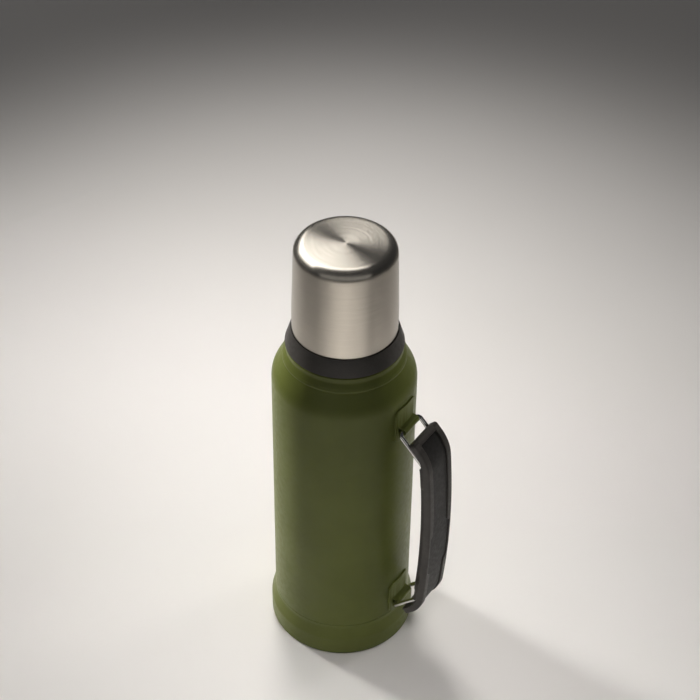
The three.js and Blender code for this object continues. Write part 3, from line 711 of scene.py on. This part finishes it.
# Half the stopper's outline: the plug with its seal groove, the knob, and the hollow for foam and lid.
def stopperSection(low, top, under, plug, inner, core):
    s = stopper
    head, lidRadius, groove = outside("stopper_shell"), outside("stopper_lid"), low + s["sealHeight"]
    coreLow, lidLow = lowEnd("stopper_core") - seam, lowEnd("stopper_lid") - seam
    soft, sharp, grooved, edge = s["soft"], s["sharp"], s["grooveRound"], s["headEdge"]
    section = roundedLine([
        (0, low, 0), (plug, low, s["plugRound"]), (plug, groove, sharp), (inner, groove, grooved),
        (inner, groove + s["sealGroove"], grooved), (plug, groove + s["sealGroove"], sharp),
        (plug, under, soft)], steps=5)
    section += roundedLine([(plug + s["step"], under, 0), (head, under, edge),
                            (head, under + s["fluteStart"], 0)], steps=4)
    rows = int((s["headHeight"] - edge - s["headRound"]) / s["headRow"]) + 1
    section += [(head, under + edge + s["headRow"] * k) for k in range(2, rows)]
    section += roundedLine([
        (head, top - s["headRound"] - sharp, 0), (head, top, s["headRound"]), (lidRadius + seam, top, soft),
        (lidRadius + seam, lidLow, 0), (core + seam, lidLow, 0), (core + seam, coreLow, 0),
        (0, coreLow, 0)], steps=8)
    return section


def buildStopper():
    s = stopper
    low, top = ends("stopper_shell")
    plug, under = mouthRadius - s["plugInset"], top - s["headHeight"]
    inner = plug - s["grooveDepth"]
    core = inner - s["plugWall"] - seam
    lidRadius = outside("stopper_lid")
    section = stopperSection(low, top, under, plug, inner, core)
    shell = grown(fluteTree(), turned(section, 240), {
        "Count": s["flutes"], "Depth": s["fluteDepth"] * mm, "Low": (under + s["fluteStart"]) * mm,
        "Inner Radius": (lidRadius + s["headMargin"]) * mm, "Fade": s["fluteFade"] * mm}, "black_plastic")
    ridge = threadRidge(mouthRadius - s["threadTip"] - s["ridge"], s["ridge"], under - s["threadDrop"],
                        "black_plastic")
    addPiece(combined(shell, "UNION", [ridge]), "black_plastic", "stopper_shell")

    lid, lidLow = stopperLid, lowEnd("stopper_lid")
    rim, recess = lidRadius - lid["rim"], top - lid["recess"]
    section = roundedLine([(0, lidLow, 0), (lidRadius, lidLow, lid["foot"]), (lidRadius, top, lid["edge"]),
                           (rim, top, lid["soft"]), (rim - lid["slope"], recess, lid["soft"]),
                           (0, recess, 0)], steps=6)
    addTurned(section, "soft_black", "stopper_lid")
    coreLow, coreHigh = ends("stopper_core")
    section = roundedLine([(0, coreLow, 0), (core, coreLow, 1), (core, coreHigh, 1), (0, coreHigh, 0)])
    addTurned(section, "pale_foam", "stopper_core", 96)
    gasket = washer("stopper_gasket", plug + s["gasketBore"])
    addPiece(gasket, "grey_rubber", "stopper_gasket")
    seal = washer("stopper_seal", inner + seam, s["sealSoft"])
    addPiece(seal, "grey_rubber", "stopper_seal")


grip = {
    "arch": 650, "straight": 62, "bend": 30, "lean": 45, "head": 7, "outerHalf": 5, "ridge": 5.5,
    "ridgeRound": 3, "boss": 2.4, "bossStart": 46.7, "bossEnd": 67, "ridgeInset": 3.6, "ridgeEnd": 61,
    "bossBlend": 2.5, "bossRound": 0.9, "edgeRound": 1.3, "cornerRound": 2.5, "rail": 5.4, "border": 5,
    "recess": 2.5, "sunk": 1, "wideExtra": 3, "wideTop": 3, "wideBottom": -38, "slant": 3, "railRound": 0.5,
    "panelRound": 0.45,
}
wire = {"bend": 3, "gripBend": 6, "entry": 16, "inset": 1.2, "sides": 28, "steps": 14}
wireRadius = 1.6
bracket = {"plate": 0.9, "corner": 5, "aboveTunnel": 18.5, "tunnelHalf": 8.9, "foot": 1.1, "soft": 0.22}

gripReach = highEnd("grip_outer", "x")
gripHalf = highEnd("grip_outer", "y")
gripCentre = (highEnd("grip_outer") + lowEnd("grip_outer")) / 2
archCentre = gripReach - grip["arch"]
turnAngle = asin(grip["straight"] / grip["arch"])
bendX = archCentre + (grip["arch"] - grip["bend"]) * cos(turnAngle)
bendZ = (grip["arch"] - grip["bend"]) * sin(turnAngle)
faceEnd = grip["arch"] * turnAngle
bendEnd = faceEnd + grip["bend"] * (radians(grip["lean"]) - turnAngle)
gripEnd = bendEnd + grip["head"]


# The point at a distance along the grip from its middle, across it, and under its outer face.
def gripPoint(along, across, depth):
    run = abs(along)
    if run <= faceEnd:
        angle, radius = run / grip["arch"], grip["arch"] - depth
        x, z = archCentre + radius * cos(angle), radius * sin(angle)
    else:
        angle, radius = turnAngle + (min(run, bendEnd) - faceEnd) / grip["bend"], grip["bend"] - depth
        rest = max(run - bendEnd, 0)
        x = bendX + radius * cos(angle) - rest * sin(angle)
        z = bendZ + radius * sin(angle) + rest * cos(angle)
    return x, across, gripCentre + (z if along >= 0 else -z)


def gripX(depth, height):
    return archCentre + sqrt((grip["arch"] - depth) ** 2 - height ** 2)


# How far a rounded edge falls, at a distance inside it.
def edgeFall(distance, radius):
    inside = min(max(distance, 0), radius)
    return radius - sqrt(radius ** 2 - (radius - inside) ** 2)


# Grid lines close together on both sides of each edge.
def gridLines(low, high, step, edges, radius):
    lines = {low, high}
    count = int((high - low) / step)
    lines |= {low + (high - low) * i / count for i in range(1, count)}
    near = [radius * (1 - cos(pi / 2 * k / 5)) for k in range(6)] + [0.02]
    for edge in edges:
        lines = {v for v in lines if abs(v - edge) > 1.2 * radius or v in (low, high)}
        lines |= {edge + d for d in near} | {edge - d for d in near}
    return sorted(v for v in lines if low <= v <= high)


# A solid between two depths under the grip's outer face, over a grid that spread() widens or narrows.
def gripSolid(alongs, acrosses, spread, upper, lower):
    points, faces = [], []
    rows, columns = len(alongs), len(acrosses)
    for depth in (upper, lower):
        for along in alongs:
            for share in acrosses:
                across = spread(share, along)
                points.append(gripPoint(along, across, depth(along, across)))

    def corner(i, j, side):
        return (side * rows + i) * columns + j

    for side in (0, 1):
        faces += [tuple(corner(i + u, j + v, side) for u, v in ((0, 0), (1, 0), (1, 1), (0, 1)))
                  for i in range(rows - 1) for j in range(columns - 1)]
    border = [(i, 0) for i in range(rows)] + [(rows - 1, j) for j in range(1, columns)]
    border += [(i, columns - 1) for i in range(rows - 2, -1, -1)]
    border += [(0, j) for j in range(columns - 2, 0, -1)]
    faces += [(corner(*a, 0), corner(*b, 0), corner(*b, 1), corner(*a, 1))
              for a, b in zip(border, border[1:] + border[:1])]
    return newMesh(points, faces)


# Half the width of the panel's opening, which widens on a slant along one stretch.
def panelHalf(along, margin=0):
    g = grip
    wide = min((g["wideTop"] - along) / g["slant"], (along - g["wideBottom"]) / g["slant"], 1)
    return gripHalf - g["rail"] - margin + g["wideExtra"] * max(wide, 0)


def panelInside(along, across, margin=0):         # distance inside the opening, less than 0 outside it
    return min(panelHalf(along, margin) - abs(across), gripEnd - grip["border"] - margin - abs(along))


def slantEnds():
    g = grip
    return {g["wideTop"], g["wideTop"] - g["slant"], g["wideBottom"], g["wideBottom"] + g["slant"]}


def buildGripOuter(grooves, holes):
    g = grip
    half, end = gripHalf - g["rail"], gripEnd - g["border"]
    alongs = set(gridLines(-gripEnd, gripEnd, 2.2, [-gripEnd, -end, end, gripEnd], g["railRound"]))
    extra = [gripEnd - g["edgeRound"] * k / 6 for k in range(1, 7)]
    extra += [gripEnd - v for v in (1.6, 2.1, 2.6)]
    alongs = sorted(alongs | set(extra) | {-v for v in extra} | slantEnds())
    across = gridLines(-gripHalf, gripHalf, 1.5, [-half, half], g["railRound"])
    edge = [gripHalf - g["edgeRound"] * (1 - cos(pi / 2 * k / 6)) for k in range(7)]
    flat = gripHalf - g["edgeRound"] - 0.05
    across = sorted({v for v in across if abs(v) < flat or abs(v) == gripHalf} | set(edge)
                    | {-v for v in edge})

    def side(along):
        short = g["cornerRound"] - (gripEnd - abs(along))
        return gripHalf - g["cornerRound"] + sqrt(max(g["cornerRound"] ** 2 - max(short, 0) ** 2, 0))

    def spread(share, along):
        opening, size = panelHalf(along), abs(share)
        if size <= half:
            return share * opening / half
        out = opening + (size - half) / (gripHalf - half) * (side(along) - opening)
        return out if share > 0 else -out

    def face(along, across):
        inside = panelInside(along, across)
        if inside > 0.01:
            return g["recess"]
        fall = edgeFall(min(side(along) - abs(across), gripEnd - abs(along)), g["edgeRound"])
        return max(fall, edgeFall(-inside, g["railRound"]))

    solid = gripSolid(alongs, across, spread, face, lambda a, b: g["outerHalf"])
    addPiece(combined(solid, "DIFFERENCE", grooves + holes), "black_plastic", "grip_outer")


def buildGripPanel():
    g = grip
    half, end = gripHalf - g["rail"] - seam, gripEnd - g["border"] - seam
    alongs = sorted(set(gridLines(-end, end, 2.2, [-end, end], g["panelRound"])) | slantEnds())
    across = gridLines(-half, half, 1.5, [-half, half], g["panelRound"])

    def face(along, across):
        return g["sunk"] + edgeFall(panelInside(along, across, seam), g["panelRound"])

    solid = gripSolid(alongs, across, lambda v, a: v * panelHalf(a, seam) / half, face,
                      lambda a, b: g["recess"] - seam)
    addPiece(solid, "soft_black", "grip_panel")


def buildGripInner(grooves, holes):
    g = grip
    top = g["outerHalf"] + seam
    narrow, end = gripHalf - g["ridgeInset"], g["bossEnd"]
    alongs = gridLines(-end, end, 1.8, [-end, end, g["ridgeEnd"], -g["ridgeEnd"]], 1.2)
    shares = gridLines(-1, 1, 0.07, [-1, 1], 0.06)
    inner = [v * narrow / gripHalf for v in gridLines(-1, 1, 0.09, [-1, 1], 0.25)]
    shares = sorted(set(shares) | {round(v, 4) for v in inner})

    def width(along):
        t = min(max((abs(along) - g["bossStart"] + g["bossBlend"]) / (2 * g["bossBlend"]), 0), 1)
        return narrow + (gripHalf - narrow) * t * t * (3 - 2 * t)

    def under(along, across):
        edge = min(width(along) - abs(across), end - abs(along))
        rise = g["boss"] - edgeFall(edge, g["bossRound"])
        inside = min(narrow - abs(across), g["ridgeEnd"] - abs(along))
        if inside > 0:
            rise = max(rise, g["ridge"] - edgeFall(inside, g["ridgeRound"]))
        return top + rise

    solid = gripSolid(alongs, shares, lambda v, a: v * width(a), lambda a, b: top, under)
    addPiece(combined(solid, "DIFFERENCE", grooves + holes), "black_plastic", "grip_inner")


# The upper bail's route: from inside the grip, around, through the tunnel and back.
def bailRoute(endRun=0):
    depth = grip["outerHalf"] + seam / 2
    tunnelX = lowEnd("upper_bail", "x") + wireRadius
    tunnelZ = highEnd("upper_bail") - wireRadius - gripCentre
    entry = radians(wire["entry"])
    entryX = bendX + (grip["bend"] - depth) * cos(entry)
    entryZ = bendZ + (grip["bend"] - depth) * sin(entry)
    start = grip["bossStart"] - endRun
    side = gripHalf - wireRadius - wire["inset"]
    legs = [(gripX(depth, start), start), (entryX, entryZ), (tunnelX, tunnelZ)]
    corners = [Vector((x, side, z)) for x, z in legs] + [Vector((x, -side, z)) for x, z in legs[::-1]]
    radii = [0, wire["gripBend"], wire["bend"], wire["bend"], wire["gripBend"], 0]
    route = []
    for i, (here, radius) in enumerate(zip(corners, radii)):
        if not radius:
            route.append(here)
            continue
        before, after = (corners[i - 1] - here).normalized(), (corners[i + 1] - here).normalized()
        half = before.angle(after) / 2
        centre = here + (before + after).normalized() * radius / sin(half)
        reach = radius / tan(half)
        start, end = here + before * reach - centre, here + after * reach - centre
        route += [centre + arm for arm in arc(start, end, pi - 2 * half, wire["steps"])]
    return route


bailMaker = bailTree()


# A bar of a radius along the bail's route; side -1 gives the lower bail.
def bar(radius, endRun, side):
    route = [(p.x * mm, p.y * mm, (gripCentre + side * p.z) * mm) for p in bailRoute(endRun)]
    path = bpy.data.meshes.new("bailPath")
    path.from_pydata(route, [(i, i + 1) for i in range(len(route) - 1)], [])
    return grown(bailMaker, path, {"Wire Radius": radius * mm, "Sides": wire["sides"]}, "polished_wire", 60)


# A plate bent to the bottle's side, with a tunnel for the wire pressed out of it.
def buildBracket(node, bail):
    b = bracket
    low, high = ends(node)
    half, inside = highEnd(node, "y"), bodyRadius + seam
    tunnelX = lowEnd(bail, "x") + wireRadius
    tunnelZ = high - b["aboveTunnel"]
    bore = wireRadius + seam
    shell = bore + b["plate"]

    def alongX(u, v, w):
        return w, u, v

    outline = roundedLine([(-half, low, b["corner"]), (half, low, b["corner"]), (half, high, b["corner"]),
                           (-half, high, b["corner"])], closed=True, steps=10)
    wide, outer, near, far = b["tunnelHalf"], inside + b["plate"], bodyRadius / 2, 1.5 * bodyRadius
    sheet = turned(rectangle(inside, outer, low - 1, high + 1), 192)
    slot = slab(rectangle(-wide, wide, tunnelZ - bore, tunnelZ + bore), near, far, alongX)
    plate = combined(sheet, "INTERSECT", [slab(outline, near, far, alongX)])
    plate = combined(plate, "DIFFERENCE", [slot])

    def halfRound(radius, steps=14):
        return [(tunnelX + radius * cos(a), tunnelZ + radius * sin(a))
                for a in (pi * (k / steps - 0.5) for k in range(steps + 1))]

    root = inside - b["plate"]
    front = sqrt(outer ** 2 - wide ** 2)            # the plate's face at the tunnel's ends
    foot = [(front + b["foot"] * (1 - cos(a)), shell + b["foot"] * (1 - sin(a)))
            for a in (pi / 2 * k / 5 for k in range(6))]
    arch = ([(root, tunnelZ - shell - b["foot"])] + [(x, tunnelZ - z) for x, z in foot] + halfRound(shell)
            + [(x, tunnelZ + z) for x, z in foot[::-1]] + [(root, tunnelZ + shell + b["foot"])]
            + [(root, tunnelZ + bore)] + halfRound(bore)[::-1] + [(root, tunnelZ - bore)])
    bridge = slab(arch, -wide, wide, lambda u, v, w: (u, w, v))
    core = turned(rectangle(0, inside, low - 2, high + 2), 192)
    solid = combined(combined(plate, "UNION", [bridge]), "DIFFERENCE", [core])
    addPiece(bevelled(solid, b["soft"]), "olive_coat", node)


screwSizes = {"head": 1.8, "shank": 1.2, "tipRound": 0.4, "rootRound": 0.1, "seatRound": 0.2,
              "domeRound": 1.1, "slotLong": 1.5, "slotWide": 0.28, "slotDepth": 0.9, "shankHole": 1.5,
              "headHole": 2.9}


# One pan-headed screw with a cross recess, its head towards the flask.
def oneScrew(node):
    d = screwSizes
    low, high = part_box(node)
    radius, top, tip = (high.y - low.y) / 2 / mm, low.x / mm, high.x / mm
    seat, shank, long, thin = top + d["head"], d["shank"], d["slotLong"], d["slotWide"]
    section = roundedLine([(0, tip, 0), (shank, tip, d["tipRound"]), (shank, seat, d["rootRound"]),
                           (radius, seat, d["seatRound"]), (radius, top, d["domeRound"]), (0, top, 0)],
                          steps=5)
    slots = [slab(rectangle(-u, u, -v, v), top - 1, top + d["slotDepth"], lambda a, b, w: (a, b, w))
             for u, v in ((long, thin), (thin, long))]
    screw = combined(turned(section, 48), "DIFFERENCE", slots)
    screw.transform(Matrix(((0, 0, 1, 0), (0, 1, 0, 0), (-1, 0, 0, 0), (0, 0, 0, 1))))
    return finishMesh(screw)


# Round holes for the screws, each from one end to the other of a stretch given from its head.
def screwHoles(radius, heads, heights, stretch):
    made = []
    for head, height in zip(heads, heights):
        ring = [(radius * cos(2 * pi * k / 32), height + radius * sin(2 * pi * k / 32)) for k in range(32)]
        made.append(slab(ring, *stretch(head), lambda u, v, w: (w, u, v)))
    return made


def buildHandle():
    buildBracket("upper_bracket", "upper_bail")
    buildBracket("lower_bracket", "lower_bail")
    addPiece(bar(wireRadius, 0, 1), "polished_wire", "upper_bail")
    addPiece(bar(wireRadius, 0, -1), "polished_wire", "lower_bail")

    nodes = [f"grip_screw_{i}" for i in (1, 2, 3, 4)]
    heights = [(lowEnd(n) + highEnd(n)) / 2 for n in nodes]
    heads = [lowEnd(n, "x") for n in nodes]

    def shanks():
        end = highEnd(nodes[0], "x") + seam
        return screwHoles(screwSizes["shankHole"], heads, heights, lambda head: (head - 1, end))

    def grooves():
        return [bar(wireRadius + seam, seam, side) for side in (1, -1)]

    openings = screwHoles(screwSizes["headHole"], heads, heights,
                          lambda head: (head - 20, head + screwSizes["head"] + seam))
    buildGripOuter(grooves(), shanks())
    buildGripInner(grooves(), shanks() + openings)
    buildGripPanel()

    points = bpy.data.meshes.new("screwPoints")
    places = [((head - heads[0]) * mm, 0, height * mm) for head, height in zip(heads, heights)]
    points.from_pydata(places, [], [])
    pattern = temporary(oneScrew(nodes[0]))
    mesh = grown(screwTree(pattern), points, {}, "plain_steel")
    bpy.data.objects.remove(pattern)
    addPiece(mesh, "plain_steel", *nodes, name="gripScrews")


buildBottle()
print("bottle made")
buildBoot()
print("boot made")
buildCollar()
print("collar made")
buildCup()
print("cup made")
buildStopper()
print("stopper made")
buildHandle()
print("handle made")


viewpoint = {"turn": -57, "distance": 0.925, "height": 1.0326, "tilt": 40.117, "swing": 0.224, "roll": 0.809,
             "lens": 91.83, "sensor": 36, "near": 0.05, "far": 50}


# A place around the flask, its angle counted from the camera's side towards the handle.
def around(angle, distance, height):
    turn = radians(viewpoint["turn"] + angle)
    return Vector((distance * cos(turn), distance * sin(turn), height))


def buildCamera():
    v = viewpoint
    heading, tilt, roll = radians(v["turn"] + 180 - v["swing"]), radians(v["tilt"]), radians(v["roll"])
    forward = Vector((cos(heading) * cos(tilt), sin(heading) * cos(tilt), -sin(tilt)))
    level = forward.cross(Vector((0, 0, 1))).normalized()
    upward = level.cross(forward)
    right = level * cos(roll) + upward * sin(roll)
    up = upward * cos(roll) - level * sin(roll)
    camera = addObject("camera", bpy.data.cameras.new("camera"))
    camera.data.lens = v["lens"]
    camera.data.sensor_width = v["sensor"]
    camera.data.clip_start, camera.data.clip_end = v["near"], v["far"]
    camera.matrix_world = Matrix.Translation(around(0, v["distance"], v["height"])) @ Matrix(
        (right, up, -forward)).transposed().to_4x4()
    bpy.context.scene.camera = camera


# Each lamp lights either reflections or matt surfaces, and an aim is a place it faces.
studio = {"room": (0.032, 0.032, 0.033, 1), "backdrop": (0.2, 0.195, 0.19, 1), "lampColor": (1, 0.985, 0.965)}
lamps = {
    "key": {"rays": "glossy", "angle": -142.1, "distance": 1.28, "height": 1.35, "size": (1.5, 1.7),
            "swing": 25, "power": 25},
    "front": {"rays": "glossy", "angle": 0, "distance": 1.7, "height": 1.1, "size": (4.5, 1.2),
              "aim": (0, 0, 0.3), "power": 4.7},
    "pool": {"rays": "diffuse", "angle": -170, "distance": 0.6, "height": 0.85, "size": (0.3, 0.3),
             "aim": (180, 0.22, 0), "power": 1.5, "spread": 80},
    "nearPool": {"rays": "diffuse", "angle": 0, "distance": 0.5, "height": 0.8, "size": (0.1, 0.1),
                 "power": 1.3, "spread": 76},
    "fill": {"rays": "diffuse", "angle": 180, "distance": 0.2, "height": 3.2, "size": (4, 4), "power": 10},
    "leftSide": {"rays": "diffuse", "angle": -125, "distance": 2, "height": 0.45, "size": (0.3, 0.3),
                 "aim": (0, 0, 0.18), "power": 1.5, "spread": 24},
    "rightSide": {"rays": "diffuse", "angle": 122, "distance": 2, "height": 0.45, "size": (0.3, 0.3),
                  "aim": (0, 0, 0.18), "power": 0.5, "spread": 24},
    "frontLow": {"rays": "diffuse", "angle": -25, "distance": 2.2, "height": 0.4, "size": (1.0, 0.3),
                 "aim": (0, 0, 0.15), "power": 0.22, "spread": 40},
}
floorHalf = 6
paper = {"dark": (0.80, 0.77, 0.74, 1), "light": (0.83, 0.80, 0.77, 1), "drift": (3, 2),
         "rough": (0.7, 0.85), "roughScale": 90}


# A rectangular lamp. Without an aim it faces straight down, turned from the camera's left and right.
def softbox(name, values):
    light = bpy.data.lights.new(name, "AREA")
    light.shape, light.size, light.size_y = "RECTANGLE", *values["size"]
    light.energy, light.color = values["power"], studio["lampColor"]
    light.spread = radians(values.get("spread", 180))
    lamp = addObject(name, light)
    lamp.location = around(values["angle"], values["distance"], values["height"])
    if "aim" in values:
        facing = around(*values["aim"]) - lamp.location
        lamp.rotation_euler = facing.to_track_quat("-Z", "Y").to_euler()
    else:
        lamp.rotation_euler = (0, 0, radians(viewpoint["turn"] + 90 + values.get("swing", 0)))
    lamp.visible_camera = False
    lamp.visible_glossy, lamp.visible_diffuse = values["rays"] == "glossy", values["rays"] == "diffuse"


def buildFloor():
    mesh, r = bpy.data.meshes.new("floor"), floorHalf
    mesh.from_pydata([(x, y, 0) for x, y in rectangle(-r, r, -r, r)], [], [(0, 1, 2, 3)])
    mesh.materials.append(skinFinish("palePaper", paper, Specular_IOR_Level=0.2))
    addObject("floor", mesh)


# The camera sees the backdrop, and other rays see the darker room.
def buildWorld():
    world = bpy.data.worlds.new("studio")
    bpy.context.scene.world = world
    world.use_nodes = True
    tree = world.node_tree
    seen = addNode(tree, "ShaderNodeLightPath").outputs["Is Camera Ray"]
    tree.links.new(tint(tree, seen, studio["room"], studio["backdrop"]), tree.nodes["Background"].inputs[0])


def buildStudio():
    buildFloor()
    buildWorld()
    for name, values in lamps.items():
        softbox(name, values)
    bpy.context.scene.view_settings.view_transform = "Standard"
    bpy.context.scene.view_settings.look = "None"


buildCamera()
buildStudio()
print("studio made")
